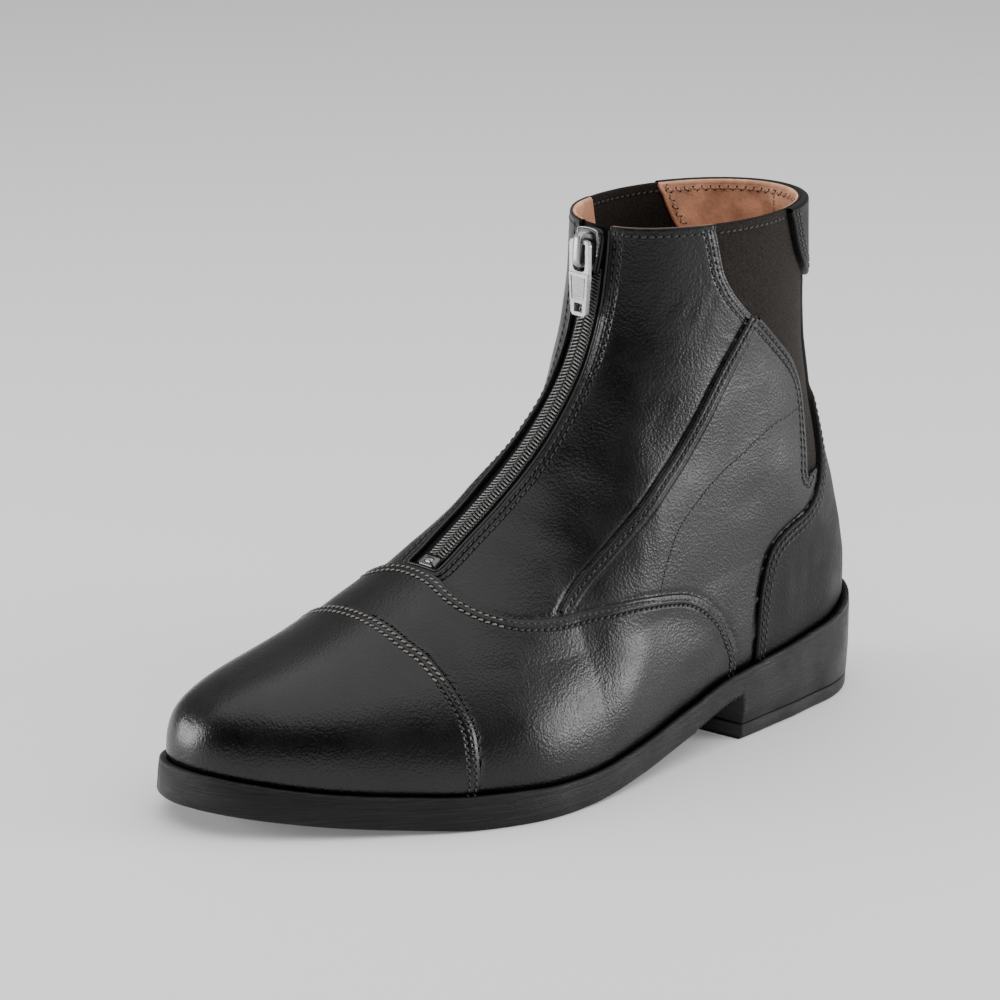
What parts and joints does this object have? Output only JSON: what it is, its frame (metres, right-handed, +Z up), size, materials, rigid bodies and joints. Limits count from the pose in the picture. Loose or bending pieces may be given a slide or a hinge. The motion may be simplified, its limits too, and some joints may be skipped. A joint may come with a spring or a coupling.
{
  "type": "paddock boot",
  "caption": "Left leather paddock boot, ankle high, with a front zip, side elastic, a stitched toe cap, a lined shaft open at the collar and a low heel.",
  "frame": {"origin": "on the ground, under the middle of the boot's bounding box", "axes": "+Z up out of the collar, +Y from the toe to the heel, +X to the boot's outer side"},
  "size_m": [0.115, 0.2854, 0.188],
  "materials": {
    "leather": "satin black, full grain",
    "elastic": "ribbed black elastic",
    "insole": "tan lining leather",
    "sole_rubber": "satin black",
    "tape": "black woven tape",
    "chain": "black coil",
    "zip_metal": "grey, satin"
  },
  "bodies": {
    "boot": {"upper": "leather", "gusset_left": "elastic", "gusset_right": "elastic", "toe_cap": "leather", "vamp": "leather", "counter": "leather", "back_tab": "leather", "rear_quarter_left": "leather", "rear_quarter_right": "leather", "heel_block": "sole_rubber", "heel_lift": "sole_rubber", "outsole": "sole_rubber", "insole": "insole", "zip_tape": "tape", "zip_teeth": "chain", "zip_slider": "zip_metal"},
    "pull": {"zip_pull": "zip_metal"}
  },
  "joints": [
    {"name": "pull_hinge", "type": "hinge", "parent": "boot", "child": "pull", "pos_m": [0.00843, 0.01364, 0.18276], "axis": [-1, 0, 0], "range_deg": [0, 150]}
  ]
}
